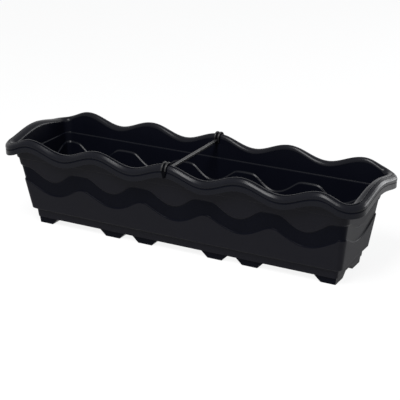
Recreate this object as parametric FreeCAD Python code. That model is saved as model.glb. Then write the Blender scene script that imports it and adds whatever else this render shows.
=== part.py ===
import FreeCAD, Part
import math
import os

# Window box planter: one thin moulded trough with a wavy rolled rim, and a clip-on cross brace.
# All lengths are millimetres. X runs along the box, Y across it and +Z up. The origin is under
# the middle of the box, at the level of its feet.

# ---- driving dimensions -------------------------------------------------------------------
WALL = 2.4                       # the moulding is this thick everywhere

PAN_BOTTOM = 14.5                # underside of the floor
PAN_BOTTOM_HALF = (346.0, 66.8)  # half-length and half-width there
PAN_TOP = 31.5
PAN_TOP_HALF = (348.0, 68.6)
WALL_START = 35.5
WALL_START_HALF = (356.8, 75.4)
WALL_DRAFT = (0.148, 0.182)      # outward run of an end wall and a long wall per unit of rise
LEDGE_HEIGHT = 153.0             # stacking shoulder
LEDGE_RISE = 1.0
LEDGE_STEP = 2.0

OUTER_HALF = (403.0, 120.0)      # the whole box over its rim
RIDGE_HALF = (391.0, 110.0)      # the line of the rim's ridge in plan
CREST_HEIGHT = 203.0             # top of a rim wave on a long side
RIM_WAVE_PITCH = 161.8           # five crests on a long side, one of them in the middle
RIM_WAVE_AMPLITUDE = 10.0
LAST_CREST = 2 * RIM_WAVE_PITCH
CORNER_RIDGE_HEIGHT = 186.0
END_RIDGE_HEIGHT = 200.5
FLARE_DEPTH = 10.0               # the wall starts to curl out this far below the ridge
BAND_DROP = 14.5                 # the rounded band of the rim falls this far to the skirt
SKIRT_DROP = 26.0                # the skirt ends this far below the ridge

RELIEF_PITCH = 144.0             # wavy recess round the wall, its dips under the rim's crests
RELIEF_DEPTH = 2.2
RELIEF_SHOULDER = 2.6            # height of the sloped edge of the recess
RELIEF_UPPER = 136.5             # the two edges of the recess at its peaks
RELIEF_LOWER = 102.0
RELIEF_FALL = 27.5               # from a peak to a dip
UPPER_FLAT = 23.0                # half-length of the flat top of a peak
LOWER_FLAT = 8.0
END_FLAT_SHARE = 0.3             # of that flat, on the end walls
RELIEF_BLEND = 0.12              # softens the corner between a flat top and its slope

PAN_RADIUS = 6.0                 # corner radii in plan
WALL_START_RADIUS = 10.0
WALL_TOP_RADIUS = 20.0
RIDGE_RADIUS = 32.0
OUTER_RADIUS = 43.0

FOOT_SPANS = ((65.0, 97.0), (142.5, 176.0), (311.0, 342.0))   # along X, at the ground
FOOT_ACROSS = (25.0, 62.0)                                    # along Y, at the ground
FOOT_SLOPE_RUN = 14.5            # a sloping side of a foot runs out this far at the floor
FOOT_DRAFT = 1.5                 # and an upright side this far
KNOCKOUT_RADIUS = 6.0            # blind drain discs, for the gardener to open
KNOCKOUT_DEPTH = 1.2
KNOCKOUT_PITCH = 125.0
KNOCKOUT_COUNT = 5

CLIP_GAP = 0.5                   # play between the brace and the rim
CLIP_THICKNESS = 2.4
CLIP_DROP = 10.5                 # a hook's band ends this far below the crest, its tongue lower
CLIP_WIDTH = 12.0
CLIP_RIB_WIDTH = 3.8
CLIP_RIB_HEIGHT = 1.4
TONGUE_LENGTH = 15.0
TONGUE_TIP_WIDTH = 4.0
BAR_WIDTH = 6.5
BAR_HEIGHT = 6.5
BAR_CENTRE_HEIGHT = 190.3
BAR_EDGE_RADIUS = 1.6

SIDE_POINTS = 33                 # points that carry a wavy line along half a long side
CORNER_POINTS = 5
END_POINTS = 9
CURL_FACETS = 2                  # strips across each rounded side of the rim
UNDER_FLAT = 0.35                # part of the way from ridge to edge that is level underneath


# ---- the box in plan ----------------------------------------------------------------------
class Plan:
    """A quarter of a rounded rectangle, from the middle of the front to the middle of an end."""

    def __init__(self, half, radius, outset=0.0):
        self.half_length = half[0] + outset
        self.half_width = half[1] + outset
        self.radius = radius + outset
        self.side = self.half_length - self.radius
        self.arc = self.radius * math.pi / 2
        self.end = self.half_width - self.radius

    def distance(self, stretch, share):
        """Distance along the quarter at a share of its side (0), corner (1) or end (2)."""
        starts = (0.0, self.side, self.side + self.arc)
        return starts[stretch] + share * (self.side, self.arc, self.end)[stretch]

    def towards(self, other, share):
        """The plan at a share of the way from this one to another."""
        half_length = self.half_length + share * (other.half_length - self.half_length)
        half_width = self.half_width + share * (other.half_width - self.half_width)
        return Plan((half_length, half_width), self.radius + share * (other.radius - self.radius))

    def point(self, stretch, share, height):
        """The point at that place, at a height."""
        if stretch == 0:
            return FreeCAD.Vector(share * self.side, -self.half_width, height)
        if stretch == 2:
            return FreeCAD.Vector(self.half_length, -self.end * (1 - share), height)
        angle = share * math.pi / 2
        x = self.side + self.radius * math.sin(angle)
        y = -self.end - self.radius * math.cos(angle)
        return FreeCAD.Vector(x, y, height)


def wall_plan(height, outset=0.0, above_ledge=False):
    """The drafted wall at a height: its outer face, or with an outset a face beside it."""
    rise = height - WALL_START
    step = LEDGE_STEP if above_ledge else 0.0
    half = [start + draft * rise + step for start, draft in zip(WALL_START_HALF, WALL_DRAFT)]
    growth = (WALL_TOP_RADIUS - WALL_START_RADIUS) / (CREST_HEIGHT - WALL_START)
    return Plan(half, WALL_START_RADIUS + growth * rise, outset)


# ---- wavy heights -------------------------------------------------------------------------
def half_wave(start, finish, share):
    """A smooth rise or fall from start to finish, as half a cosine wave."""
    return start + (finish - start) * (1 - math.cos(math.pi * share)) / 2


def ridge_height(plan, distance):
    """Height of the rim's ridge: cosine waves on the side, a dip at the corner, an end crest."""
    corner = plan.side + plan.arc / 2
    if distance <= LAST_CREST:
        wave = math.cos(2 * math.pi * distance / RIM_WAVE_PITCH)
        return CREST_HEIGHT - RIM_WAVE_AMPLITUDE * (1 - wave)
    if distance <= corner:
        share = (distance - LAST_CREST) / (corner - LAST_CREST)
        return half_wave(CREST_HEIGHT, CORNER_RIDGE_HEIGHT, share)
    share = (distance - corner) / (plan.arc / 2 + plan.end)
    return half_wave(CORNER_RIDGE_HEIGHT, END_RIDGE_HEIGHT, share)


def relief_height(top, flat, plan, distance):
    """Height of an edge of the recess: flat at each peak, then a quarter sine to a round dip."""
    half_pitch = RELIEF_PITCH / 2
    end_start = plan.side + plan.arc
    if distance <= plan.side:
        from_peak = abs(distance % RELIEF_PITCH - half_pitch)
        share = (from_peak - flat) / (half_pitch - flat)
    elif distance <= end_start:
        return top
    else:
        end_flat = flat * END_FLAT_SHARE
        share = (distance - end_start - end_flat) / (plan.end - end_flat)
    softened = (share + math.sqrt(share * share + RELIEF_BLEND ** 2)) / 2
    return top - RELIEF_FALL * math.sin(math.pi / 2 * min(softened, 1.0))


# ---- rails: lines round a quarter of the box, each as three edges -------------------------
def level_rail(plan, height):
    """A rail at one height: a straight side, a round corner and a straight end."""
    places = ((0, 0.0), (1, 0.0), (1, 0.5), (2, 0.0), (2, 1.0))
    start, turn, middle, leave, finish = [plan.point(*place, height) for place in places]
    side = Part.LineSegment(start, turn).toShape()
    corner = Part.Arc(turn, middle, leave).toShape()
    return [side, corner, Part.LineSegment(leave, finish).toShape()]


def wavy_rail(point_rule):
    """A rail through the points that a rule gives for each stretch of the quarter."""
    edges = []
    for stretch, count in enumerate((SIDE_POINTS, CORNER_POINTS, END_POINTS)):
        shares = [index / (count - 1) for index in range(count)]
        curve = Part.BSplineCurve()
        curve.interpolate(Points=[point_rule(stretch, share) for share in shares], Parameters=shares)
        edges.append(curve.toShape())
    return edges


def relief_rail(top, flat, rise, outset):
    """One line of the recess on the wall, raised and set in or out from the wall's outer face."""
    nominal = wall_plan(top - RELIEF_FALL / 2)

    def point(stretch, share):
        height = relief_height(top, flat, nominal, nominal.distance(stretch, share)) + rise
        return wall_plan(height, outset).point(stretch, share, height)

    return wavy_rail(point)


def rim_rail(plan_rule, drop):
    """A line of the rim at a drop below the ridge. Its plan may depend on the ridge's height."""
    nominal = Plan(RIDGE_HALF, RIDGE_RADIUS)

    def point(stretch, share):
        ridge = ridge_height(nominal, nominal.distance(stretch, share))
        return plan_rule(ridge).point(stretch, share, ridge - drop)

    return wavy_rail(point)


def curl_rails(edge_plan, edge_drop, ridge_plan):
    """Lines of a quarter ellipse that leaves an edge line upright and reaches the ridge level."""
    rails = []
    for index in range(CURL_FACETS + 1):
        angle = index / CURL_FACETS * math.pi / 2
        inwards = 1 - math.cos(angle)

        def plan_rule(ridge, share=inwards):
            return edge_plan(ridge).towards(ridge_plan(ridge), share)

        rails.append(rim_rail(plan_rule, edge_drop * (1 - math.sin(angle))))
    return rails


# ---- strips: faces between rails ----------------------------------------------------------
def strip(lower, upper, flat):
    """Faces between two rails. On a flat strip the side and the end are planes."""
    faces = []
    for stretch, (low, high) in enumerate(zip(lower, upper)):
        if not flat or stretch == 1:
            faces.append(Part.makeRuledSurface(low, high))
            continue
        starts = Part.makeLine(low.firstVertex().Point, high.firstVertex().Point)
        ends = Part.makeLine(low.lastVertex().Point, high.lastVertex().Point)
        faces.append(Part.Face(Part.Wire([low, ends, high, starts])))
    return faces


def strips_between(rails, flat=False):
    """Strips from each rail to the next."""
    faces = []
    for lower, upper in zip(rails, rails[1:]):
        faces += strip(lower, upper, flat)
    return faces


def wall_faces(outset, lift):
    """One skin of the pan and the wall up to the rim. The inner skin is lifted by its thickness."""
    in_recess = outset - RELIEF_DEPTH
    ledge_low = LEDGE_HEIGHT + lift / 2
    ledge_high = ledge_low + LEDGE_RISE
    pan = [
        level_rail(Plan(PAN_BOTTOM_HALF, PAN_RADIUS, outset), PAN_BOTTOM + lift),
        level_rail(Plan(PAN_TOP_HALF, PAN_RADIUS + 1, outset), PAN_TOP + lift),
        level_rail(wall_plan(WALL_START + lift, outset), WALL_START + lift),
    ]
    lower_edge = relief_rail(RELIEF_LOWER, LOWER_FLAT, 0.0, outset)
    lower_foot = relief_rail(RELIEF_LOWER, LOWER_FLAT, RELIEF_SHOULDER, in_recess)
    upper_foot = relief_rail(RELIEF_UPPER, UPPER_FLAT, -RELIEF_SHOULDER, in_recess)
    upper_edge = relief_rail(RELIEF_UPPER, UPPER_FLAT, 0.0, outset)
    ledge = [
        level_rail(wall_plan(ledge_low, outset), ledge_low),
        level_rail(wall_plan(ledge_high, outset, True), ledge_high),
    ]
    flare = rim_rail(lambda ridge: wall_plan(ridge - FLARE_DEPTH, outset, True), FLARE_DEPTH)
    faces = strips_between(pan)
    faces += strip(pan[-1], lower_edge, True)
    faces += strip(lower_edge, lower_foot, False)
    faces += strip(lower_foot, upper_foot, True)
    faces += strip(upper_foot, upper_edge, False)
    faces += strip(upper_edge, ledge[0], True)
    faces += strips_between(ledge)
    faces += strip(ledge[1], flare, True)
    return faces


# ---- the trough ---------------------------------------------------------------------------
def rim_faces():
    """The rolled rim: curled out from the wall, over the ridge and down to the skirt."""
    def wall_outer(ridge):
        return wall_plan(ridge - FLARE_DEPTH, 0.0, True)

    def wall_inner(ridge):
        return wall_plan(ridge - FLARE_DEPTH, -WALL, True)

    def ridge_line(ridge):
        return Plan(RIDGE_HALF, RIDGE_RADIUS)

    def skirt_outer(ridge):
        return Plan(OUTER_HALF, OUTER_RADIUS)

    def skirt_inner(ridge):
        return Plan(OUTER_HALF, OUTER_RADIUS, -WALL)

    skirt = [
        rim_rail(skirt_inner, BAND_DROP),
        rim_rail(skirt_inner, SKIRT_DROP),
        rim_rail(skirt_outer, SKIRT_DROP),
        rim_rail(skirt_outer, BAND_DROP),
    ]
    underside = [
        rim_rail(wall_outer, FLARE_DEPTH),
        rim_rail(lambda ridge: ridge_line(ridge).towards(wall_outer(ridge), UNDER_FLAT), WALL),
        rim_rail(lambda ridge: ridge_line(ridge).towards(skirt_inner(ridge), UNDER_FLAT), WALL),
        skirt[0],
    ]
    faces = strips_between(underside)
    faces += strips_between(skirt[:2], True)
    faces += strips_between(skirt[1:3])
    faces += strips_between(skirt[2:], True)
    faces += strips_between(curl_rails(skirt_outer, BAND_DROP, ridge_line))
    faces += strips_between(curl_rails(wall_inner, FLARE_DEPTH, ridge_line))
    return faces


def all_quadrants(shape):
    """The shape and its mirror images across both middle planes."""
    origin = FreeCAD.Vector()
    pair = [shape, shape.mirror(origin, FreeCAD.Vector(1, 0, 0))]
    return pair + [piece.mirror(origin, FreeCAD.Vector(0, 1, 0)) for piece in pair]


def floor_face(outset, height):
    """One face of the floor, as a rounded rectangle."""
    quarter = Part.makeCompound(level_rail(Plan(PAN_BOTTOM_HALF, PAN_RADIUS, outset), height))
    edges = [edge for piece in all_quadrants(quarter) for edge in piece.Edges]
    return Part.Face(Part.Wire(Part.__sortEdges__(edges)))


def moulded_shell():
    """The trough without its feet: a quarter's faces, mirrored twice and closed by the floor."""
    quarter = Part.makeCompound(wall_faces(0.0, 0.0) + rim_faces() + wall_faces(-WALL, WALL))
    faces = [face for piece in all_quadrants(quarter) for face in piece.Faces]
    faces += [floor_face(0.0, PAN_BOTTOM), floor_face(-WALL, PAN_BOTTOM + WALL)]
    skin = Part.makeCompound(faces)
    skin.sewShape()
    solid = Part.makeSolid(skin.Shells[0])
    if solid.Volume < 0:
        solid.reverse()
    return solid


def rectangle(span, across, height):
    """The corners of a level rectangle."""
    corners = ((span[0], across[0]), (span[1], across[0]), (span[1], across[1]), (span[0], across[1]))
    return [FreeCAD.Vector(x, y, height) for x, y in corners]


def tapered_block(ground, upper):
    """A solid with flat sides between two level rectangles."""
    outlines = [ground, upper]
    for index in range(4):
        after = (index + 1) % 4
        outlines.append([ground[index], ground[after], upper[after], upper[index]])
    faces = [Part.Face(Part.makePolygon(outline + outline[:1])) for outline in outlines]
    block = Part.makeSolid(Part.makeShell(faces))
    if block.Volume < 0:
        block.reverse()
    return block


def foot_block(span, inset, bottom):
    """A tapered foot, or with an inset the hollow inside it, from its bottom up into the floor."""
    is_corner_foot = span == FOOT_SPANS[-1]
    rise = 1.0 + WALL / PAN_BOTTOM
    slope = FOOT_SLOPE_RUN * rise - inset
    draft = FOOT_DRAFT * rise - inset
    near, far = FOOT_ACROSS
    ground = rectangle((span[0] + inset, span[1] - inset), (near + inset, far - inset), bottom)
    upper_span = (span[0] - slope, span[1] + (draft if is_corner_foot else slope))
    upper = rectangle(upper_span, (near - slope, far + draft), PAN_BOTTOM + WALL)
    return tapered_block(ground, upper)


def knockouts():
    """Shallow blind discs along the underside of the floor."""
    first = -KNOCKOUT_PITCH * (KNOCKOUT_COUNT - 1) / 2
    stations = [first + index * KNOCKOUT_PITCH for index in range(KNOCKOUT_COUNT)]
    places = [FreeCAD.Vector(station, 0, PAN_BOTTOM) for station in stations]
    return [Part.makeCylinder(KNOCKOUT_RADIUS, KNOCKOUT_DEPTH, place) for place in places]


def make_trough():
    """The whole moulding: shell, hollow feet and drain discs."""
    feet, hollows = [], []
    for span in FOOT_SPANS:
        feet += all_quadrants(foot_block(span, 0.0, 0.0))
        hollows += all_quadrants(foot_block(span, WALL, WALL))
    trough = moulded_shell().multiFuse(feet).removeSplitter()
    return trough.cut(hollows + knockouts())


# ---- the brace ----------------------------------------------------------------------------
def hook_outline(gap):
    """The section of the rim at its middle crest, moved out by a gap, as edges in the YZ plane."""
    ridge = RIDGE_HALF[1]
    bar_bottom = BAR_CENTRE_HEIGHT - BAR_HEIGHT / 2
    inner_radius = ridge - wall_plan(bar_bottom, -WALL, True).half_width + gap
    outer_radius = OUTER_HALF[1] - ridge + gap
    top = CREST_HEIGHT + gap
    diagonal = math.sqrt(0.5)

    def place(y, z):
        return FreeCAD.Vector(0, y, z)

    foot = place(ridge - inner_radius, bar_bottom)
    inner = place(ridge - inner_radius, top - inner_radius)
    inner_middle = place(ridge - inner_radius * diagonal, top - inner_radius * (1 - diagonal))
    crown = place(ridge, top)
    outer_middle = place(ridge + outer_radius * diagonal, top - outer_radius * (1 - diagonal))
    outer = place(ridge + outer_radius, top - outer_radius)
    tip = place(ridge + outer_radius, CREST_HEIGHT - CLIP_DROP)
    curves = [
        Part.LineSegment(foot, inner),
        Part.Arc(inner, inner_middle, crown),
        Part.Arc(crown, outer_middle, outer),
        Part.LineSegment(outer, tip),
    ]
    return [curve.toShape() for curve in curves]


def hook_band(outer_gap, left, width):
    """A strip of a hook, from the play beside the rim out to a gap, as wide as given along X."""
    inner = hook_outline(CLIP_GAP)
    outer = hook_outline(outer_gap)
    starts = Part.makeLine(inner[0].firstVertex().Point, outer[0].firstVertex().Point)
    ends = Part.makeLine(inner[-1].lastVertex().Point, outer[-1].lastVertex().Point)
    wire = Part.Wire(Part.__sortEdges__(inner + outer + [starts, ends]))
    band = Part.Face(wire).extrude(FreeCAD.Vector(width, 0, 0))
    band.translate(FreeCAD.Vector(left, 0, 0))
    return band


def hook_tongue():
    """The tapered tongue that hangs down outside the rim."""
    near = OUTER_HALF[1] + CLIP_GAP
    top = CREST_HEIGHT - CLIP_DROP
    half, tip = CLIP_WIDTH / 2, TONGUE_TIP_WIDTH / 2
    corners = [(-half, top), (half, top), (tip, top - TONGUE_LENGTH), (-tip, top - TONGUE_LENGTH)]
    points = [FreeCAD.Vector(x, near, z) for x, z in corners]
    return Part.Face(Part.makePolygon(points + points[:1])).extrude(FreeCAD.Vector(0, CLIP_THICKNESS, 0))


def make_hook():
    """One hook: a band over the rim with two raised ribs, and the tongue."""
    face_gap = CLIP_GAP + CLIP_THICKNESS
    half = CLIP_WIDTH / 2
    hook = hook_band(face_gap, -half, CLIP_WIDTH)
    for left in (-half, half - CLIP_RIB_WIDTH):
        hook = hook.fuse(hook_band(face_gap + CLIP_RIB_HEIGHT, left, CLIP_RIB_WIDTH))
    return hook.fuse(hook_tongue())


def make_brace():
    """The bar with a hook at each end."""
    reach = hook_outline(CLIP_GAP)[0].firstVertex().Point.y
    corner = FreeCAD.Vector(-BAR_WIDTH / 2, -reach, BAR_CENTRE_HEIGHT - BAR_HEIGHT / 2)
    bar = Part.makeBox(BAR_WIDTH, 2 * reach, BAR_HEIGHT, corner)
    long_edges = [edge for edge in bar.Edges if edge.BoundBox.YLength > reach]
    bar = bar.makeFillet(BAR_EDGE_RADIUS, long_edges)
    hook = make_hook()
    other = hook.mirror(FreeCAD.Vector(), FreeCAD.Vector(0, 1, 0))
    return bar.fuse([hook, other]).removeSplitter()


def main():
    """Builds each piece, says how big it is and writes it."""
    os.makedirs("parts", exist_ok=True)
    for name, make in (("trough", make_trough), ("cross_brace", make_brace)):
        shape = make()
        box = shape.BoundBox
        print(name, "solids", len(shape.Solids), "valid", shape.isValid(), "faces", len(shape.Faces),
              "volume", round(shape.Volume / 1000, 1), "cm3",
              "size", round(box.XLength, 1), round(box.YLength, 1), round(box.ZLength, 1))
        shape.exportStep(f"parts/{name}.step")


main()
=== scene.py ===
import logging
import math
from collections.abc import Sequence
from dataclasses import dataclass, field
from enum import Enum

import bpy
import numpy as np
from mathutils import Matrix, Vector


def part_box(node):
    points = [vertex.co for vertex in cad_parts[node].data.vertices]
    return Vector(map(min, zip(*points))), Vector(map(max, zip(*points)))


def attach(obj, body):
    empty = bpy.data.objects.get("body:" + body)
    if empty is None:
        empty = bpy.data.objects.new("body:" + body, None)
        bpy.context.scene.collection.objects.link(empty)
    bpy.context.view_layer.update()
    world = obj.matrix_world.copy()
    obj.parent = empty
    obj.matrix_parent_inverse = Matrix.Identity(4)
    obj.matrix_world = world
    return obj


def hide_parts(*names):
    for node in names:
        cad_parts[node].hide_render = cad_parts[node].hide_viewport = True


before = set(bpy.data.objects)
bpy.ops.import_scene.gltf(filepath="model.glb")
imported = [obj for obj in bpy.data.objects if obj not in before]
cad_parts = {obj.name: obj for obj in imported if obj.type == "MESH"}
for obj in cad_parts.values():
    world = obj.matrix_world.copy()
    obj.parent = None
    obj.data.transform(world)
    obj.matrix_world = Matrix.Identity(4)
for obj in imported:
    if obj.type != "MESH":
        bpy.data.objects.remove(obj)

log = logging.getLogger("planter")
MM = 0.001
Tree, Socket = bpy.types.NodeTree, bpy.types.NodeSocket


# ---- surfaces ----
def unit(vectors: np.ndarray) -> np.ndarray:
    """The vectors at length one, with a zero vector left as it is."""
    lengths = np.linalg.norm(vectors, axis=-1, keepdims=True)
    return vectors / np.maximum(lengths, 1e-12)


def smooth_step(value: np.ndarray, low: float, high: float) -> np.ndarray:
    """A soft switch from 0 at low to 1 at high, as 3t^2 - 2t^3 of the share t between them."""
    share = np.clip((value - low) / (high - low), 0.0, 1.0)
    return share * share * (3.0 - 2.0 * share)


def grid_quads(rows: int, columns: int, closed_rows: bool, closed_columns: bool) -> np.ndarray:
    """The quads between neighbouring points of a grid of rows and columns.

    Args:
        rows: number of rows.
        columns: number of points in a row.
        closed_rows: the last row joins the first.
        closed_columns: each row's last point joins its first.

    Returns:
        An array of four point numbers per quad.
    """
    index = np.arange(rows * columns).reshape(rows, columns)
    along = np.roll(index, -1, axis=1)
    across = np.roll(index, -1, axis=0)
    both = np.roll(across, -1, axis=1)
    quads = np.stack([index, along, both, across], axis=-1)
    quads = quads[: rows if closed_rows else rows - 1, : columns if closed_columns else columns - 1]
    return quads.reshape(-1, 4)


def enclosed_volume(points: np.ndarray, faces: np.ndarray) -> float:
    """Volume inside a closed surface: the sum of the cones from the origin to each triangle."""
    corners = points[faces]
    total = 0.0
    for last in range(2, faces.shape[1]):
        a, b, c = corners[:, 0], corners[:, last - 1], corners[:, last]
        total += float(np.einsum("ij,ij->", a, np.cross(b, c))) / 6.0
    return total


def make_piece(name: str, points: np.ndarray, faces: np.ndarray, material: bpy.types.Material,
               values: dict[str, np.ndarray] | None = None, crease: float = 38.0) -> bpy.types.Object:
    """Makes a smooth mesh object from a closed surface, with its faces turned outwards.

    Args:
        name: the object's name.
        points: one row per vertex, in metres.
        faces: vertex numbers, one row per face.
        material: the finish.
        values: a number per vertex for each named attribute.
        crease: edges sharper than this many degrees stay sharp.

    Returns:
        The new object, linked into the scene.
    """
    faces = faces.reshape(-1, faces.shape[-1])
    if enclosed_volume(points, faces) < 0.0:
        faces = faces[:, ::-1]
    mesh = bpy.data.meshes.new(name)
    mesh.from_pydata(points.tolist(), [], faces.tolist())
    mesh.polygons.foreach_set("use_smooth", np.ones(len(mesh.polygons), dtype=bool))
    mesh.set_sharp_from_angle(angle=math.radians(crease))
    for key, numbers in (values or {}).items():
        attribute = mesh.attributes.new(key, "FLOAT", "POINT")
        attribute.data.foreach_set("value", numbers.astype(np.float32))
    mesh.materials.append(material)
    mesh.update()
    piece = bpy.data.objects.new(name, mesh)
    bpy.context.scene.collection.objects.link(piece)
    return piece


# ---- finishes ----
@dataclass(frozen=True)
class MouldedPlastic:
    """Coloured moulded plastic: a mottled body colour, a fine spark grain and a satin sheen.

    Each sheen is given for satin, grained and polished faces, in that order, and the grain's
    strength for smooth and for grained ones. Wear spreads the roughness with the mottling.
    """

    name: str
    colour: tuple[float, float, float]
    smooth_colour: tuple[float, float, float]
    specular: tuple[float, float, float] = (0.025, 0.09, 0.12)
    roughness: tuple[float, float, float] = (0.32, 0.56, 0.27)
    grain_per_metre: float = 1500.0
    grain_height: float = 0.10 * MM
    grain_strength: tuple[float, float] = (0.12, 0.8)
    noise_detail: float = 3.0
    fleck_per_metre: float = 375.0
    fleck_detail: float = 2.0
    fleck_share: float = 0.1
    mottle_per_metre: float = 16.0
    mottle_share: float = 0.16
    wear: float = 0.05

    def material(self) -> bpy.types.Material:
        """Builds the material. The attributes "grain" and "polish" are 1 on faces finished so."""
        material = bpy.data.materials.new(self.name)
        material.use_nodes = True
        tree = material.node_tree
        shader = tree.nodes["Principled BSDF"]
        place = tree.nodes.new("ShaderNodeTexCoord").outputs["Object"]
        zone, polish = self._attribute(tree, "grain"), self._attribute(tree, "polish")
        cloud = self._noise(tree, place, self.mottle_per_metre, self.noise_detail)
        speck = self._noise(tree, place, self.fleck_per_metre, self.fleck_detail)
        fine = self._noise(tree, place, self.grain_per_metre, self.noise_detail)
        tone = self._mix(tree, zone, self.smooth_colour, self.colour)
        shade = self._range(tree, cloud, 1.0 - self.mottle_share, 1.0 + self.mottle_share)
        fleck = self._range(tree, speck, 1.0 - self.fleck_share, 1.0 + self.fleck_share)
        tree.links.new(self._scale(tree, self._scale(tree, tone, shade), fleck), shader.inputs["Base Color"])
        wear = self._range(tree, cloud, -self.wear, self.wear)
        rough = self._by_zone(tree, zone, polish, self.roughness)
        tree.links.new(self._sum(tree, rough, wear), shader.inputs["Roughness"])
        tree.links.new(self._by_zone(tree, zone, polish, self.specular), shader.inputs["Specular IOR Level"])
        bump = tree.nodes.new("ShaderNodeBump")
        bump.inputs["Distance"].default_value = self.grain_height
        tree.links.new(self._range(tree, zone, *self.grain_strength), bump.inputs["Strength"])
        tree.links.new(fine, bump.inputs["Height"])
        tree.links.new(bump.outputs["Normal"], shader.inputs["Normal"])
        return material

    @staticmethod
    def _attribute(tree: Tree, name: str) -> Socket:
        """A number that the mesh carries."""
        node = tree.nodes.new("ShaderNodeAttribute")
        node.attribute_name = name
        return node.outputs["Fac"]

    def _by_zone(self, tree: Tree, grain: Socket, polish: Socket,
                 levels: tuple[float, float, float]) -> Socket:
        """A level that depends on the finish: the satin one plus what grain or polish adds."""
        satin, grained, polished = levels
        base = self._range(tree, grain, satin, grained)
        return self._sum(tree, base, self._range(tree, polish, 0.0, polished - satin))

    @staticmethod
    def _noise(tree: Tree, place: Socket, scale: float,
               detail: float) -> Socket:
        """Cloudy noise at a scale per metre, as a number from 0 to 1."""
        noise = tree.nodes.new("ShaderNodeTexNoise")
        noise.inputs["Scale"].default_value = scale
        noise.inputs["Detail"].default_value = detail
        tree.links.new(place, noise.inputs["Vector"])
        return noise.outputs["Fac"]

    @staticmethod
    def _range(tree: Tree, value: Socket, low: float,
               high: float) -> Socket:
        """The value spread from 0..1 to low..high."""
        spread = tree.nodes.new("ShaderNodeMapRange")
        spread.inputs["To Min"].default_value = low
        spread.inputs["To Max"].default_value = high
        tree.links.new(value, spread.inputs["Value"])
        return spread.outputs["Result"]

    @staticmethod
    def _sum(tree: Tree, first: Socket,
             second: Socket) -> Socket:
        """Two numbers added."""
        add = tree.nodes.new("ShaderNodeMath")
        add.operation = "ADD"
        tree.links.new(first, add.inputs[0])
        tree.links.new(second, add.inputs[1])
        return add.outputs[0]

    @staticmethod
    def _mix(tree: Tree, share: Socket, low: Sequence[float],
             high: Sequence[float]) -> Socket:
        """A colour between two, by a share."""
        mix = tree.nodes.new("ShaderNodeMix")
        mix.data_type = "RGBA"
        mix.inputs[6].default_value = (*low, 1.0)
        mix.inputs[7].default_value = (*high, 1.0)
        tree.links.new(share, mix.inputs[0])
        return mix.outputs[2]

    @staticmethod
    def _scale(tree: Tree, colour: Socket,
               factor: Socket) -> Socket:
        """A colour made lighter or darker by a factor."""
        scale = tree.nodes.new("ShaderNodeVectorMath")
        scale.operation = "SCALE"
        tree.links.new(colour, scale.inputs[0])
        tree.links.new(factor, scale.inputs["Scale"])
        return scale.outputs[0]


# ---- the box in plan ----
@dataclass(frozen=True)
class Walk:
    """Places along a quarter of the box: which stretch each is on and its share of that stretch.

    Stretch 0 is half a long side from its middle, 1 the corner and 2 half an end to its middle.
    """

    stretch: np.ndarray
    share: np.ndarray

    @classmethod
    def with_counts(cls, side: int, corner: int, end: int) -> "Walk":
        """Evenly spaced places, so many on each stretch, with both ends of the quarter."""
        shares = [np.arange(side) / side, np.arange(corner) / corner, np.arange(end + 1) / end]
        stretches = [np.full(len(part), number) for number, part in enumerate(shares)]
        return cls(np.concatenate(stretches), np.concatenate(shares))


@dataclass(frozen=True)
class Plan:
    """A rounded rectangle in plan. Its sizes are numbers, or one number per place of a walk."""

    half_length: np.ndarray | float
    half_width: np.ndarray | float
    radius: np.ndarray | float

    def outset(self, by: float) -> "Plan":
        """The plan moved out by a distance all round."""
        return Plan(self.half_length + by, self.half_width + by, self.radius + by)

    def towards(self, other: "Plan", share: float) -> "Plan":
        """The plan a share of the way to another."""
        return Plan(
            self.half_length + share * (other.half_length - self.half_length),
            self.half_width + share * (other.half_width - self.half_width),
            self.radius + share * (other.radius - self.radius),
        )

    def distance(self, walk: Walk) -> np.ndarray:
        """How far each place of the walk is from the middle of the long side."""
        side, arc, end = self.lengths()
        lengths = np.choose(walk.stretch, [side, arc, end])
        starts = np.choose(walk.stretch, [0.0, side, side + arc])
        return starts + walk.share * lengths

    def lengths(self) -> tuple:
        """Lengths of the three stretches."""
        side, end = self.half_length - self.radius, self.half_width - self.radius
        return side, self.radius * math.pi / 2.0, end

    def points(self, walk: Walk, height: np.ndarray | float) -> np.ndarray:
        """Points of the walk on this plan, straight, then round the corner, then straight.

        Args:
            walk: the places.
            height: their heights.

        Returns:
            One point per place, x right and y away from the viewer.
        """
        side, _, end = self.lengths()
        angle = walk.share * math.pi / 2.0
        on_side, on_end = walk.stretch == 0, walk.stretch == 2
        x = np.where(on_side, walk.share * side, side + self.radius * np.sin(angle))
        x = np.where(on_end, self.half_length, x)
        y = np.where(on_side, -self.half_width, -end - self.radius * np.cos(angle))
        y = np.where(on_end, -end * (1.0 - walk.share), y)
        return np.stack([x, y, np.broadcast_to(height, x.shape)], axis=-1)


def mirrored_round(quarter: np.ndarray) -> np.ndarray:
    """A quarter's rows joined with their three mirror images into closed rings.

    Args:
        quarter: rows of points from the middle of the front to the middle of the right end.

    Returns:
        Rows of points once round the box.
    """
    back = quarter[:, ::-1]
    parts = [quarter, back * (1, -1, 1), quarter * (-1, -1, 1), back * (-1, 1, 1)]
    return np.concatenate([part[:, :-1] for part in parts], axis=1)


# ---- the trough's wall and rim ----
class Zone(Enum):
    """How the mould was finished there, as the grain and the polish that the finish reads."""

    GRAINED = (1.0, 0.0)
    SATIN = (0.0, 0.0)
    POLISHED = (0.0, 1.0)

    def over(self, count: int) -> dict[str, np.ndarray]:
        """The two numbers for so many vertices."""
        return {"grain": np.full(count, self.value[0]), "polish": np.full(count, self.value[1])}


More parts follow.
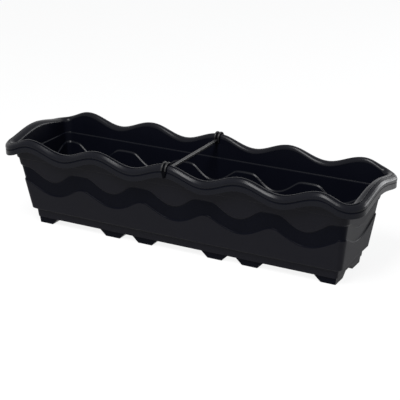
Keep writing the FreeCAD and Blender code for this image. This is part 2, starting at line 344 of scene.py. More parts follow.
class Bend(Enum):
    """How far from a rail its rounding starts, from a seam's crisp corner to the curl's wide one."""

    SEAM = 0.3 * MM
    GROOVE = 0.4 * MM
    LIP = 0.5 * MM
    EDGE = 0.6 * MM
    BEAD = 0.7 * MM
    SHOULDER = 0.8 * MM
    RELIEF = 1.0 * MM
    PAN = 1.2 * MM
    WALL_START = 1.4 * MM
    INNER_CURL = 2.0 * MM
    UNDER_CURL = 2.5 * MM
    FLARE = 3.0 * MM


@dataclass(frozen=True)
class Rail:
    """A line round the box, how softly the surface bends there, and the finish that follows it."""

    points: np.ndarray
    bend: Bend
    zone: Zone


@dataclass
class TroughWall:
    """The thin moulded wall with its wavy recess, shoulder and rolled wavy rim.

    The rim's band has two flats, each given as its share of the way out from the ridge and its
    share of the band's drop. The groove's lip is given by its distance from the groove and its
    drop, and the bead's outer side by its share of the bead's radius and its drop.
    """

    outer_half_length: float
    outer_half_width: float
    crest_height: float
    wall: float = 2.4 * MM
    pan_bottom: float = 14.5 * MM
    pan_bottom_half: tuple[float, float] = (346.0 * MM, 66.8 * MM)
    pan_top: float = 31.5 * MM
    pan_top_half: tuple[float, float] = (348.0 * MM, 68.6 * MM)
    pan_radius: float = 6.0 * MM
    wall_start: float = 35.5 * MM
    wall_start_half: tuple[float, float] = (356.8 * MM, 75.4 * MM)
    wall_draft: tuple[float, float] = (0.148, 0.182)
    wall_radii: tuple[float, float] = (10.0 * MM, 20.0 * MM)
    ledge_height: float = 153.0 * MM
    ledge_rise: float = 1.0 * MM
    ledge_step: float = 2.0 * MM
    ridge_inset: tuple[float, float] = (12.0 * MM, 10.0 * MM)
    ridge_radius: float = 32.0 * MM
    outer_radius: float = 43.0 * MM
    wave_pitch: float = 161.8 * MM
    wave_amplitude: float = 10.0 * MM
    corner_height: float = 186.0 * MM
    end_height: float = 200.5 * MM
    flare_depth: float = 10.0 * MM
    band_drop: float = 14.5 * MM
    skirt_drop: float = 26.0 * MM
    skirt_inset: float = 0.5 * MM
    seam_depth: float = 0.9 * MM
    seam_height: float = 2.2 * MM
    bead_radius: float = 1.7 * MM
    groove_width: float = 2.0 * MM
    groove_depth: float = 2.2 * MM
    relief_pitch: float = 144.0 * MM
    relief_depth: float = 2.2 * MM
    relief_shoulder: float = 2.6 * MM
    relief_upper: float = 136.5 * MM
    relief_lower: float = 102.0 * MM
    relief_fall: float = 27.5 * MM
    upper_flat: float = 23.0 * MM
    lower_flat: float = 8.0 * MM
    end_flat_share: float = 0.3
    relief_blend: float = 0.12
    under_flat: float = 0.35
    seam_rise: float = 1.6 * MM
    seam_slope: float = 0.6 * MM
    band_foot: float = 0.7 * MM
    band_side: float = 0.58
    band_flats: tuple[tuple[float, float], ...] = ((0.90, 0.42), (0.66, 0.20))
    groove_lip: tuple[float, float] = (0.7 * MM, 1.0 * MM)
    bead_outside: tuple[float, float] = (0.8, 0.1 * MM)
    bead_inside: float = 0.6
    curl_angles: tuple[float, ...] = (62.0, 38.0, 16.0)
    reach_limit: float = 0.36
    guard_share: float = 1.25
    walk: Walk = field(default_factory=lambda: Walk.with_counts(90, 14, 20))

    def __post_init__(self) -> None:
        """Works out the plans of the ridge and of the rim's outer edge."""
        self.outer_plan = Plan(self.outer_half_length, self.outer_half_width, self.outer_radius)
        self.ridge_plan = Plan(self.outer_half_length - self.ridge_inset[0],
                               self.outer_half_width - self.ridge_inset[1], self.ridge_radius)
        self.ridge = self.ridge_heights()

    def wall_plan(self, height: np.ndarray | float, outset: float = 0.0, above_ledge: bool = False) -> Plan:
        """Plan of the drafted wall at a height: it grows by the draft for each unit of rise."""
        rise = height - self.wall_start
        step = self.ledge_step if above_ledge else 0.0
        length, width = (half + draft * rise + step
                         for half, draft in zip(self.wall_start_half, self.wall_draft))
        growth = (self.wall_radii[1] - self.wall_radii[0]) / (self.crest_height - self.wall_start)
        return Plan(length, width, self.wall_radii[0] + growth * rise).outset(outset)

    def ridge_heights(self) -> np.ndarray:
        """Height of the rim at each place: cosine waves, then half waves to the corner and end."""
        distance = self.ridge_plan.distance(self.walk)
        side, arc, end = self.ridge_plan.lengths()
        last_crest, corner = 2.0 * self.wave_pitch, side + arc / 2.0
        wave = np.cos(2.0 * math.pi * distance / self.wave_pitch)
        on_side = self.crest_height - self.wave_amplitude * (1.0 - wave)
        fall = (1.0 - np.cos(math.pi * (distance - last_crest) / (corner - last_crest))) / 2.0
        to_corner = self.crest_height + (self.corner_height - self.crest_height) * fall
        rise = (1.0 - np.cos(math.pi * (distance - corner) / (arc / 2.0 + end))) / 2.0
        on_end = self.corner_height + (self.end_height - self.corner_height) * rise
        return np.where(distance <= last_crest, on_side, np.where(distance <= corner, to_corner, on_end))

    def relief_heights(self, top: float, flat: float) -> np.ndarray:
        """Height of an edge of the recess: flat peaks joined by quarter sines to round dips.

        Args:
            top: height of the peaks.
            flat: half the length of a peak's flat top.

        Returns:
            A height for each place of the walk.
        """
        plan = self.wall_plan(top - self.relief_fall / 2.0)
        side, arc, end = plan.lengths()
        distance = plan.distance(self.walk)
        half_pitch, end_flat = self.relief_pitch / 2.0, flat * self.end_flat_share
        from_peak = np.abs(np.mod(distance, self.relief_pitch) - half_pitch)
        share = (from_peak - flat) / (half_pitch - flat)
        share = np.where(self.walk.stretch == 2, (distance - side - arc - end_flat) / (end - end_flat), share)
        softened = (share + np.sqrt(share * share + self.relief_blend ** 2)) / 2.0
        fall = np.sin(math.pi / 2.0 * np.minimum(softened, 1.0))
        fall = np.where((self.walk.stretch == 1), 0.0, fall)
        return top - self.relief_fall * fall

    def level(self, plan: Plan, height: float, bend: Bend, zone: Zone) -> Rail:
        """A rail at one height."""
        return Rail(plan.points(self.walk, height), bend, zone)

    def relief(self, top: float, flat: float, rise: float, outset: float, zone: Zone) -> Rail:
        """A rail along an edge of the recess, on the wall or sunk below it."""
        height = self.relief_heights(top, flat) + rise
        return Rail(self.wall_plan(height, outset).points(self.walk, height), Bend.RELIEF, zone)

    def rim(self, plan: Plan, drop: float, bend: Bend, zone: Zone = Zone.POLISHED) -> Rail:
        """A rail of the rim at a drop below its ridge."""
        return Rail(plan.points(self.walk, self.ridge - drop), bend, zone)

    def skin(self, outset: float, lift: float, zone: Zone, lip: Zone) -> list[Rail]:
        """The rails of one face of the wall from the pan up to the rim.

        Args:
            outset: 0 for the outer face, or minus the wall's thickness for the inner one.
            lift: how much higher the floor is on this face.
            zone: the finish of its panels.
            lip: the finish of the shoulder and of the recess's upper edge.

        Returns:
            The rails from the bottom up.
        """
        in_recess = outset - self.relief_depth
        ledge = self.ledge_height + lift / 2.0
        above_ledge = ledge + self.ledge_rise
        start = self.wall_start + lift
        flare = self.ridge - self.flare_depth
        return [
            self.level(Plan(*self.pan_bottom_half, self.pan_radius).outset(outset),
                       self.pan_bottom + lift, Bend.PAN, zone),
            self.level(Plan(*self.pan_top_half, self.pan_radius + MM).outset(outset),
                       self.pan_top + lift, Bend.PAN, zone),
            self.level(self.wall_plan(start, outset), start, Bend.WALL_START, zone),
            self.relief(self.relief_lower, self.lower_flat, 0.0, outset, Zone.SATIN),
            self.relief(self.relief_lower, self.lower_flat, self.relief_shoulder, in_recess, Zone.SATIN),
            self.relief(self.relief_upper, self.upper_flat, -self.relief_shoulder, in_recess, Zone.SATIN),
            self.relief(self.relief_upper, self.upper_flat, 0.0, outset, lip),
            self.level(self.wall_plan(ledge, outset), ledge, Bend.LIP, zone),
            self.level(self.wall_plan(above_ledge, outset, True), above_ledge, Bend.BEAD, lip),
            Rail(self.wall_plan(flare, outset, True).points(self.walk, flare), Bend.FLARE, zone),
        ]

    def rolled_rim(self) -> list[Rail]:
        """The rails over the rim, from the outer face of the wall to its inner face.

        Underneath they follow the curl. Outside come the skirt, the seam above it, the band with
        its flats and the groove beside the bead on the ridge, and inside a quarter ellipse down to
        the wall.
        """
        wall_outer = self.wall_plan(self.ridge - self.flare_depth, 0.0, True)
        wall_inner = self.wall_plan(self.ridge - self.flare_depth, -self.wall, True)
        outer, ridge = self.outer_plan, self.ridge_plan
        hidden = outer.outset(-self.wall)
        bead, groove = self.bead_radius, self.groove_width
        skirt, seam = outer.outset(-self.skirt_inset), outer.outset(-self.seam_depth)
        seam_top = self.band_drop - self.seam_rise
        seam_bottom = seam_top + self.seam_height
        lip_out, lip_drop = self.groove_lip
        crown_out, crown_drop = self.bead_outside
        flats = [self.rim(ridge.towards(outer, out), self.band_drop * drop, bend)
                 for (out, drop), bend in zip(self.band_flats, (Bend.SHOULDER, Bend.EDGE))]
        rails = [
            self.rim(ridge.towards(wall_outer, self.under_flat), self.wall, Bend.UNDER_CURL),
            self.rim(ridge.towards(hidden, self.under_flat), self.wall, Bend.UNDER_CURL),
            self.rim(hidden, self.band_drop, Bend.FLARE),
            self.rim(hidden, self.skirt_drop, Bend.LIP),
            self.rim(skirt, self.skirt_drop, Bend.EDGE),
            self.rim(skirt, seam_bottom + self.seam_slope, Bend.LIP, Zone.SATIN),
            self.rim(seam, seam_bottom, Bend.SEAM, Zone.SATIN),
            self.rim(seam, seam_top, Bend.SEAM, Zone.SATIN),
            self.rim(outer, seam_top - self.band_foot, Bend.SHOULDER),
            self.rim(outer, self.band_drop * self.band_side, Bend.PAN),
            *flats,
            self.rim(ridge.outset(bead + groove + lip_out), lip_drop, Bend.EDGE),
            self.rim(ridge.outset(bead + groove), self.groove_depth, Bend.GROOVE),
            self.rim(ridge.outset(bead), self.groove_depth, Bend.GROOVE),
            self.rim(ridge.outset(bead * crown_out), crown_drop, Bend.BEAD),
            self.rim(ridge.outset(-bead * self.bead_inside), 0.0, Bend.BEAD),
        ]
        for angle in np.radians(self.curl_angles):
            share, drop = 1.0 - math.cos(angle), self.flare_depth * (1.0 - math.sin(angle))
            rails.append(self.rim(wall_inner.towards(ridge, share), drop, Bend.INNER_CURL))
        return rails

    def rounded_rows(self, rails: Sequence[Rail]) -> tuple[np.ndarray, np.ndarray]:
        """Rows of points that round each rail off.

        Each rail P gives rows P + r(a(1-t)^2 + bt^2), where a and b point to the rails before and
        after and t goes from 0 to 1, and one more row on either side that holds the flats flat.

        Args:
            rails: the closed section, in order.

        Returns:
            The rows, and the finish of each.
        """
        points = np.stack([rail.points for rail in rails])
        before, after = np.roll(points, 1, axis=0) - points, np.roll(points, -1, axis=0) - points
        room_before = np.linalg.norm(before, axis=-1, keepdims=True)
        room_after = np.linalg.norm(after, axis=-1, keepdims=True)
        wanted = np.array([rail.bend.value for rail in rails])[:, None, None]
        reach = np.minimum(wanted, self.reach_limit * np.minimum(room_before, room_after))
        guard = self.guard_share * reach
        before, after = unit(before), unit(after)
        rows = [points + guard * before]
        rows += [points + reach * (before * (1.0 - t) ** 2 + after * t ** 2) for t in (0.0, 0.5, 1.0)]
        rows.append(points + guard * after)
        zone = np.array([rail.zone.value for rail in rails])
        last = np.roll(zone, 1, axis=0)
        zones = np.stack([last, last, zone, zone, zone], axis=1)
        stacked = np.stack(rows, axis=1)
        return stacked.reshape(-1, *points.shape[1:]), zones.reshape(-1, 2)

    def build(self, finish: bpy.types.Material) -> bpy.types.Object:
        """Builds the wall and rim as one closed skin.

        Args:
            finish: its material.

        Returns:
            The piece.
        """
        outer = self.skin(0.0, 0.0, Zone.GRAINED, Zone.GRAINED)
        inner = self.skin(-self.wall, self.wall, Zone.SATIN, Zone.POLISHED)
        rows, zones = self.rounded_rows(outer + self.rolled_rim() + inner[::-1])
        rings = mirrored_round(rows)
        grain, polish = (np.repeat(zones[:, column], rings.shape[1]) for column in (0, 1))
        quads = grid_quads(*rings.shape[:2], True, True)
        values = {"grain": grain, "polish": polish}
        return make_piece("trough_wall_and_rim", rings.reshape(-1, 3), quads, finish, values)


# ---- the trough's floor and feet ----
@dataclass
class TroughFloor:
    """The floor with its hollow tapered feet and blind drain discs, as two height fields.

    The lines round a corner stop a hair short of the quarter turn, so that no two coincide.
    """

    wall: float = 2.4 * MM
    underside: float = 14.5 * MM
    half: tuple[float, float] = (345.2 * MM, 66.0 * MM)
    corner_radius: float = 5.2 * MM
    foot_spans: tuple[tuple[float, float], ...] = (
        (65.0 * MM, 97.0 * MM), (142.5 * MM, 176.0 * MM), (311.0 * MM, 342.0 * MM))
    foot_across: tuple[float, float] = (25.0 * MM, 62.0 * MM)
    slope_run: float = 14.5 * MM
    draft_run: float = 1.5 * MM
    disc_radius: float = 6.0 * MM
    disc_depth: float = 1.2 * MM
    disc_pitch: float = 125.0 * MM
    disc_count: int = 5
    disc_edge: float = 0.93
    disc_reach: float = 1.3
    disc_lines: int = 23
    slope_lines: int = 5
    corner_lines: int = 6
    corner_turn: float = 1.57
    crease: float = 20.0

    def ramps(self, inset: float) -> list[tuple[tuple[float, float], ...]]:
        """Where each foot's four sides start at the floor and end at the ground.

        Args:
            inset: 0 for the foot, or the wall's thickness for the hollow inside it.

        Returns:
            For each foot of a quarter, pairs of (floor edge, ground edge): low x, high x, low y
            and high y.
        """
        near, far = self.foot_across
        found = []
        for span in self.foot_spans:
            outer_run = self.draft_run if span == self.foot_spans[-1] else self.slope_run
            found.append((
                (span[0] - self.slope_run + inset, span[0] + inset),
                (span[1] + outer_run - inset, span[1] - inset),
                (near - self.slope_run + inset, near + inset),
                (far + self.draft_run - inset, far - inset),
            ))
        return found

    def depth(self, x: np.ndarray, y: np.ndarray, inset: float) -> np.ndarray:
        """How deep the feet reach at each place, from 0 at the floor to 1 at the ground.

        Each foot is the least of four ramps, and the deepest foot counts.
        """
        deepest = np.zeros_like(x)
        for low_x, high_x, low_y, high_y in self.ramps(inset):
            sides = [(np.abs(value) - edge[0]) / (edge[1] - edge[0])
                     for value, edge in ((x, low_x), (x, high_x), (y, low_y), (y, high_y))]
            deepest = np.maximum(deepest, np.clip(np.min(sides, axis=0), 0.0, 1.0))
        return deepest

    def grid_lines(self, axis: int) -> np.ndarray:
        """Grid lines along x (0) or y (1): on each edge of a foot, finer on slopes and discs."""
        edges = {0.0, self.half[axis], self.half[axis] - self.corner_radius}
        for inset in (0.0, self.wall):
            for ramp in self.ramps(inset):
                for floor_edge, ground_edge in ramp[2 * axis:2 * axis + 2]:
                    edges.update(np.linspace(floor_edge, ground_edge, self.slope_lines).tolist())
        turn = np.linspace(0.0, self.corner_turn, self.corner_lines)
        edges.update((self.half[axis] - self.corner_radius * (1.0 - np.cos(turn))).tolist())
        stations = self.disc_pitch * np.arange(self.disc_count // 2 + 1) if axis == 0 else np.zeros(1)
        offsets = np.linspace(-self.disc_reach, self.disc_reach, self.disc_lines) * self.disc_radius
        for station in stations:
            around = station + offsets
            edges.update(around[around >= 0.0].tolist())
        lines = np.array(sorted(edges))
        return np.concatenate([-lines[:0:-1], lines])

    def discs(self, x: np.ndarray, y: np.ndarray) -> np.ndarray:
        """How deep the drain discs are sunk: a flat disc with a soft edge at each station."""
        last = self.disc_count // 2
        nearest = self.disc_pitch * np.clip(np.round(x / self.disc_pitch), -last, last)
        from_centre = np.hypot(x - nearest, y)
        edge = smooth_step(from_centre, self.disc_radius * self.disc_edge, self.disc_radius)
        return self.disc_depth * (1.0 - edge)

    def build(self, finish: bpy.types.Material) -> bpy.types.Object:
        """Builds the floor as an upper and a lower height field joined round the edge.

        Args:
            finish: its material.

        Returns:
            The piece.
        """
        x, y = np.meshgrid(self.grid_lines(0), self.grid_lines(1), indexing="ij")
        beyond = np.maximum(np.abs(x) - (self.half[0] - self.corner_radius), 0.0)
        arc = np.sqrt(np.maximum(self.corner_radius ** 2 - beyond ** 2, 0.0))
        reach = self.half[1] - self.corner_radius + arc
        y_inside = np.clip(y, -reach, reach)
        foot, hollow = self.depth(x, y, 0.0), self.depth(x, y, self.wall)
        low = self.underside * (1.0 - foot) + self.discs(x, y)
        high = self.underside + self.wall - self.underside * hollow
        skins = [np.stack([x, y_inside, height], axis=-1).reshape(-1, 3) for height in (low, high)]
        count = x.size
        lower = self.triangles(foot, 0)
        upper = self.triangles(hollow, count)[:, ::-1]
        index = np.arange(count).reshape(x.shape)
        edge = np.concatenate([index[:-1, 0], index[-1, :-1], index[:0:-1, -1], index[0, :0:-1]])
        following = np.roll(edge, -1)
        strips = np.concatenate([
            np.stack([edge, following, following + count], axis=-1),
            np.stack([edge, following + count, edge + count], axis=-1)])
        faces = np.concatenate([lower[:, ::-1], upper[:, ::-1], strips])
        values = Zone.SATIN.over(2 * count)
        return make_piece("trough_floor_and_feet", np.concatenate(skins), faces, finish, values,
                          self.crease)

    @staticmethod
    def triangles(depth: np.ndarray, first: int) -> np.ndarray:
        """Two triangles per cell, split along the diagonal that keeps a foot's hips straight.

        Args:
            depth: the depth field; the deeper diagonal of a cell is its hip.
            first: number of the field's first vertex.

        Returns:
            Three vertex numbers per triangle.
        """
        index = np.arange(depth.size).reshape(depth.shape) + first
        a, b, c, d = index[:-1, :-1], index[1:, :-1], index[1:, 1:], index[:-1, 1:]
        straight = (depth[:-1, :-1] + depth[1:, 1:] >= depth[1:, :-1] + depth[:-1, 1:])[..., None]
        one = np.where(straight, np.stack([a, b, c], axis=-1), np.stack([a, b, d], axis=-1))
        two = np.where(straight, np.stack([a, c, d], axis=-1), np.stack([b, c, d], axis=-1))
        return np.concatenate([one.reshape(-1, 3), two.reshape(-1, 3)])


# ---- the brace ----
class Side(Enum):
    """The long side of the box that a hook grips."""

    FRONT = -1.0
    BACK = 1.0


@dataclass
class CrossBrace:
    """The bar across the box and the two ribbed hooks that clip over the rim."""

    ridge_half_width: float
    outer_half_width: float
    crest_height: float
    inner_wall_half_width: float
    gap: float = 0.5 * MM
    thickness: float = 2.4 * MM
    width: float = 12.0 * MM
    rib_width: float = 3.8 * MM
    rib_height: float = 1.4 * MM
    clip_drop: float = 10.5 * MM
    tongue_length: float = 15.0 * MM
    tongue_tip: float = 4.0 * MM
    bar_size: float = 6.5 * MM
    bar_centre_height: float = 190.3 * MM
    bar_edge: float = 1.6 * MM
    tongue_edge: float = 0.5 * MM
    tongue_overlap: float = 1.5 * MM
    cap_inset: float = 0.06
    rib_fill: float = 0.999
    stem_points: int = 5
    arc_points: int = 15
    drop_points: int = 3
    rib_points: int = 11
    tongue_points: int = 9
    bar_points: int = 25

    def swept(self, path: np.ndarray, normal: np.ndarray, across: np.ndarray,
              out: np.ndarray) -> tuple[np.ndarray, np.ndarray]:
        """A closed section carried along a path, with its two ends closed.

        A point is path + out * normal, moved sideways by across, for each station of the path and
        each point of the section. The ends shrink to their middles.

        Args:
            path: stations in the YZ plane.
            normal: the outward direction at each.
            across: the section's places along X, per station or for all.
            out: the section's distances along the normal, per station or for all.

        Returns:
            Points and quads of the closed surface.
        """
        count = across.shape[-1]
        across = np.broadcast_to(across, (len(path), count))
        out = np.broadcast_to(out, (len(path), count))
        rows = path[:, None, :] + out[..., None] * normal[:, None, :]
        rows = rows + across[..., None] * np.array([1.0, 0.0, 0.0])
        middles = [np.repeat(rows[end].mean(axis=0, keepdims=True), count, axis=0) for end in (0, -1)]
        inset = self.cap_inset
        caps = [(1.0 - inset) * rows[end] + inset * middle for end, middle in zip((0, -1), middles)]
        rows = np.concatenate([[middles[0]], [caps[0]], rows, [caps[1]], [middles[1]]])
        return rows.reshape(-1, 3), grid_quads(*rows.shape[:2], False, True)

    @staticmethod
    def rounded_box(half_width: np.ndarray | float, half_height: np.ndarray | float, radius: float,
                    steps: int = 6) -> tuple[np.ndarray, np.ndarray]:
        """A rounded rectangle as a section: four quarter circles joined by straight sides."""
        turn = (np.arange(4)[:, None] + np.arange(steps + 1) / steps)[..., None].reshape(-1) * math.pi / 2.0
        corner = np.repeat(np.arange(4), steps + 1)
        sign_x = np.choose(corner, [1.0, -1.0, -1.0, 1.0])
        sign_z = np.choose(corner, [1.0, 1.0, -1.0, -1.0])
        across = sign_x * (np.asarray(half_width)[..., None] - radius) + radius * np.cos(turn)
        out = sign_z * (np.asarray(half_height)[..., None] - radius) + radius * np.sin(turn)
        return across, out

    def hook_path(self) -> tuple[np.ndarray, np.ndarray]:
        """The hook's course: up the inside, a quarter circle, a second one, and down the outside.

        Returns:
            Stations on the rim's own section, for the back hook, and the outward directions.
        """
        inner_radius = self.ridge_half_width - self.inner_wall_half_width
        outer_radius = self.outer_half_width - self.ridge_half_width
        top = self.crest_height
        bottom = self.bar_centre_height - self.bar_size / 2.0
        quarter = np.linspace(0.0, math.pi / 2.0, self.arc_points)
        stem = np.linspace(bottom, top - inner_radius, self.stem_points)[:-1]
        drop = np.linspace(top - outer_radius, top - self.clip_drop, self.drop_points)[1:]
        inside, outside = np.ones_like(stem), np.ones_like(drop)
        y = np.concatenate([
            self.inner_wall_half_width * inside,
            self.ridge_half_width - inner_radius * np.cos(quarter),
            self.ridge_half_width + outer_radius * np.sin(quarter[1:]),
            self.outer_half_width * outside])
        z = np.concatenate([
            stem,
            top - inner_radius + inner_radius * np.sin(quarter),
            top - outer_radius + outer_radius * np.cos(quarter[1:]),
            drop])
        normal_y = np.concatenate([-inside, -np.cos(quarter), np.sin(quarter[1:]), outside])
        normal_z = np.concatenate([0.0 * inside, np.sin(quarter), np.cos(quarter[1:]), 0.0 * outside])
        zero = np.zeros_like(y)
        return np.stack([zero, y, z], axis=-1), np.stack([zero, normal_y, normal_z], axis=-1)

    def hook_section(self) -> tuple[np.ndarray, np.ndarray]:
        """The hook's section: flat beside the rim, and two round ribs with a groove outside.

        The outer face stands out by the thickness plus the rib's height times
        (1 - |u|^4)^(1/2), where u goes from -1 to 1 across each rib.
        """
        half = self.width / 2.0
        u = np.linspace(-1.0, 1.0, self.rib_points)
        swell = self.rib_height * np.sqrt(np.maximum(1.0 - np.abs(u) ** 4, 0.0))
        rib_centre = half - self.rib_width / 2.0
        right = rib_centre + u * self.rib_width / 2.0 * self.rib_fill
        across = np.concatenate([[-half, half], right[::-1], -right])
        face = self.gap + self.thickness
        out = np.concatenate([[self.gap, self.gap], face + swell[::-1], face + swell])
        return across, out

    def tongue(self) -> tuple[np.ndarray, np.ndarray]:
        """The tongue: a rounded section that narrows as it hangs down outside the rim."""
        share = np.linspace(0.0, 1.0, self.tongue_points)
        top = self.crest_height - self.clip_drop + self.tongue_overlap
        z = top - (self.tongue_length + self.tongue_overlap) * share
        y = np.full_like(z, self.outer_half_width + self.gap + self.thickness / 2.0)
        half = (self.width / 2.0) * (1.0 - share) + (self.tongue_tip / 2.0) * share
        across, out = self.rounded_box(half, np.full_like(half, self.thickness / 2.0), self.tongue_edge)
        path = np.stack([np.zeros_like(z), y, z], axis=-1)
        normal = np.broadcast_to([0.0, 1.0, 0.0], path.shape)
        return self.swept(path, normal, across, out)

    def build_hook(self, side: Side, finish: bpy.types.Material) -> bpy.types.Object:
        """Builds a hook with its tongue.

        Args:
            side: the long side it grips.
            finish: its material.

        Returns:
            The piece.
        """
        path, normal = self.hook_path()
        across, out = self.hook_section()
        crests = np.clip((out - self.gap - self.thickness) / self.rib_height, 0.0, 1.0)
        band, band_quads = self.swept(path, normal, across, out)
        tongue, tongue_quads = self.tongue()
        parts = []
        for points, quads in ((band, band_quads), (tongue, tongue_quads)):
            points = points * (1.0, side.value, 1.0)
            parts.append((points, quads[:, ::-1] if enclosed_volume(points, quads) < 0.0 else quads))
        points = np.concatenate([part[0] for part in parts])
        quads = np.concatenate([parts[0][1], parts[1][1] + len(parts[0][0])])
        values = Zone.SATIN.over(len(points))
        values["polish"][:len(band)] = np.tile(crests, len(band) // len(crests))
        return make_piece(f"brace_hook_{side.name.lower()}", points, quads, finish, values)

    def build_bar(self, finish: bpy.types.Material) -> bpy.types.Object:
        """Builds the bar: a rounded square section carried straight across, from hook to hook.

        Args:
            finish: its material.

        Returns:
            The piece.
        """
        reach = self.inner_wall_half_width - self.gap - self.thickness / 2.0
        y = np.linspace(-reach, reach, self.bar_points)
        path = np.stack([np.zeros_like(y), y, np.full_like(y, self.bar_centre_height)], axis=-1)
        normal = np.broadcast_to([0.0, 0.0, 1.0], path.shape)
        half = self.bar_size / 2.0
        points, quads = self.swept(path, normal, *self.rounded_box(half, half, self.bar_edge))
        return make_piece("brace_bar", points, quads, finish, Zone.POLISHED.over(len(points)))


# ---- studio ----
@dataclass(frozen=True)
class SoftLight:
    """A large soft lamp that looks at a point of the box."""

    name: str
    place: tuple[float, float, float]
    size: tuple[float, float]
    power: float
    target: tuple[float, float, float] = (0.0, 0.0, 0.1)
    colour: tuple[float, float, float] = (1.0, 1.0, 1.0)

    def build(self) -> None:
        """Builds the lamp."""
        lamp = bpy.data.lights.new(self.name, "AREA")
        lamp.shape = "RECTANGLE"
        lamp.size, lamp.size_y = self.size
        lamp.energy = self.power
        lamp.color = self.colour
        holder = bpy.data.objects.new(self.name, lamp)
        holder.location = self.place
        aim = Vector(self.target) - Vector(self.place)
        holder.rotation_euler = aim.to_track_quat("-Z", "Y").to_euler()
        bpy.context.scene.collection.objects.link(holder)


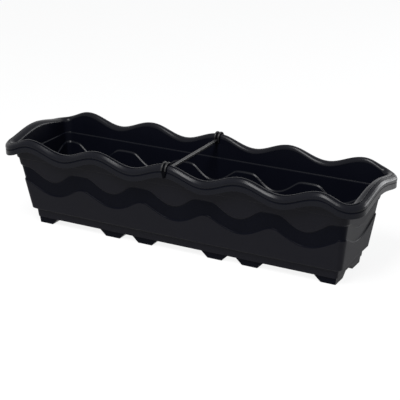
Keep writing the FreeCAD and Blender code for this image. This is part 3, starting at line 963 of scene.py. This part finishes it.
@dataclass(frozen=True)
class Studio:
    """A plain pale floor, soft lamps and the camera at the photograph's angle."""

    azimuth: float = 28.715
    elevation: float = 21.228
    roll: float = -0.155
    distance: float = 2.5158
    target: tuple[float, float, float] = (0.0, 0.0, 0.0773)
    lens: float = 110.25
    shift: tuple[float, float] = (0.0157, 0.0159)
    sensor: float = 36.0
    view_reach: float = 200.0
    floor_half: float = 40.0
    floor_colour: tuple[float, float, float] = (0.9, 0.9, 0.9)
    floor_roughness: float = 0.9
    floor_specular: float = 0.1
    floor_glow: float = 0.88
    room_colour: tuple[float, float, float] = (0.93, 0.96, 1.0)
    room_strength: float = 0.45
    backdrop_colour: tuple[float, float, float] = (1.0, 1.0, 1.0)
    lamps: tuple[SoftLight, ...] = (
        SoftLight("overhead", (0.15, -1.5, 2.2), (0.9, 1.5), 95.0),
        SoftLight("side", (1.7, 2.1, 0.62), (1.8, 1.1), 46.0, colour=(0.98, 0.99, 1.0)),
    )

    def build_camera(self) -> None:
        """Places the camera on its sphere round the target and turns it by the roll."""
        azimuth, elevation = math.radians(self.azimuth), math.radians(self.elevation)
        back = Vector((math.sin(azimuth) * math.cos(elevation), -math.cos(azimuth) * math.cos(elevation),
                       math.sin(elevation)))
        camera = bpy.data.cameras.new("camera")
        camera.lens = self.lens
        camera.sensor_width = self.sensor
        camera.shift_x, camera.shift_y = self.shift
        camera.clip_end = self.view_reach
        holder = bpy.data.objects.new("camera", camera)
        turn = back.to_track_quat("Z", "Y") @ Matrix.Rotation(math.radians(self.roll), 3, "Z").to_quaternion()
        holder.rotation_euler = turn.to_euler()
        holder.location = Vector(self.target) + self.distance * back
        bpy.context.scene.collection.objects.link(holder)
        bpy.context.scene.camera = holder

    @staticmethod
    def seen(tree: Tree, ray: bpy.types.Node) -> Socket:
        """A switch that is 1 for what is seen straight, mirrored or through something clear."""
        switch = ray.outputs["Is Camera Ray"]
        for name in ("Is Glossy Ray", "Is Transmission Ray"):
            add = tree.nodes.new("ShaderNodeMath")
            add.operation = "ADD"
            add.use_clamp = True
            tree.links.new(switch, add.inputs[0])
            tree.links.new(ray.outputs[name], add.inputs[1])
            switch = add.outputs[0]
        return switch

    def build_floor(self) -> None:
        """Builds the floor: nearly white where seen or mirrored, and still taking shadows."""
        half = self.floor_half
        mesh = bpy.data.meshes.new("floor")
        mesh.from_pydata([(-half, -half, 0), (half, -half, 0), (half, half, 0), (-half, half, 0)], [],
                         [(0, 1, 2, 3)])
        material = bpy.data.materials.new("pale_floor")
        material.use_nodes = True
        tree = material.node_tree
        shader, output = tree.nodes["Principled BSDF"], tree.nodes["Material Output"]
        shader.inputs["Base Color"].default_value = (*self.floor_colour, 1.0)
        shader.inputs["Roughness"].default_value = self.floor_roughness
        shader.inputs["Specular IOR Level"].default_value = self.floor_specular
        glow, mix, ray = (tree.nodes.new(kind) for kind in (
            "ShaderNodeEmission", "ShaderNodeMixShader", "ShaderNodeLightPath"))
        share = tree.nodes.new("ShaderNodeMath")
        share.operation = "MULTIPLY"
        share.inputs[1].default_value = self.floor_glow
        tree.links.new(self.seen(tree, ray), share.inputs[0])
        tree.links.new(share.outputs[0], mix.inputs[0])
        tree.links.new(shader.outputs[0], mix.inputs[1])
        tree.links.new(glow.outputs[0], mix.inputs[2])
        tree.links.new(mix.outputs[0], output.inputs["Surface"])
        mesh.materials.append(material)
        floor = bpy.data.objects.new("floor", mesh)
        bpy.context.scene.collection.objects.link(floor)

    def build_world(self) -> None:
        """Builds the surroundings: white where seen or mirrored, and a soft grey room for light."""
        world = bpy.data.worlds.new("studio")
        world.use_nodes = True
        tree = world.node_tree
        tree.nodes.clear()
        ray, mix, room, white, output = (tree.nodes.new(kind) for kind in (
            "ShaderNodeLightPath", "ShaderNodeMixShader", "ShaderNodeBackground", "ShaderNodeBackground",
            "ShaderNodeOutputWorld"))
        room.inputs["Color"].default_value = (*self.room_colour, 1.0)
        room.inputs["Strength"].default_value = self.room_strength
        tree.links.new(self.seen(tree, ray), mix.inputs[0])
        tree.links.new(room.outputs[0], mix.inputs[1])
        tree.links.new(white.outputs[0], mix.inputs[2])
        white.inputs["Color"].default_value = (*self.backdrop_colour, 1.0)
        tree.links.new(mix.outputs[0], output.inputs["Surface"])
        bpy.context.scene.world = world

    def build(self) -> None:
        """Builds the whole studio and sets how the picture is shown."""
        self.build_world()
        self.build_floor()
        self.build_camera()
        for lamp in self.lamps:
            lamp.build()
        bpy.context.scene.view_settings.view_transform = "Standard"


# ---- the whole box ----
TROUGH_PLASTIC = MouldedPlastic(
    "trough_plastic", colour=(0.0031, 0.0031, 0.0054), smooth_colour=(0.0020, 0.0023, 0.0044))
BRACE_PLASTIC = MouldedPlastic(
    "brace_plastic", colour=(0.0012, 0.0013, 0.0020), smooth_colour=(0.0012, 0.0013, 0.0020),
    specular=(0.015, 0.10, 0.36), roughness=(0.35, 0.5, 0.42))


@dataclass
class WindowBox:
    """The planter: its wall and rim, its floor and feet, and the brace that clips across."""

    wall: TroughWall
    floor: TroughFloor
    brace: CrossBrace

    @classmethod
    def from_frame(cls) -> "WindowBox":
        """Takes the main sizes from the solid trough of the frame."""
        low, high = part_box("trough")
        wall = TroughWall(float(high.x), float(high.y), float(high.z))
        bar_bottom = CrossBrace.bar_centre_height - CrossBrace.bar_size / 2.0
        inside = wall.wall_plan(bar_bottom, -wall.wall, True)
        brace = CrossBrace(wall.ridge_plan.half_width, wall.outer_half_width, wall.crest_height,
                           float(inside.half_width))
        return cls(wall, TroughFloor(), brace)

    def build(self) -> None:
        """Builds each piece, hides the solid it stands for and sets what it moves with."""
        trough_plastic, brace_plastic = TROUGH_PLASTIC.material(), BRACE_PLASTIC.material()
        trough = [self.wall.build(trough_plastic), self.floor.build(trough_plastic)]
        brace = [self.brace.build_bar(brace_plastic)]
        brace += [self.brace.build_hook(side, brace_plastic) for side in Side]
        for pieces, body, slot in ((trough, "trough", TROUGH_PLASTIC.name),
                                   (brace, "cross_brace", BRACE_PLASTIC.name)):
            for piece in pieces:
                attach(piece, body)
                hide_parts(body)
                log.info("%s: %d faces, moves with %s", piece.name, len(piece.data.polygons), body)


def main() -> None:
    """Builds the studio and the box."""
    logging.basicConfig(level=logging.INFO, format="%(name)s: %(message)s")
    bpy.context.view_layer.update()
    Studio().build()
    WindowBox.from_frame().build()


if __name__ == "__main__":
    main()
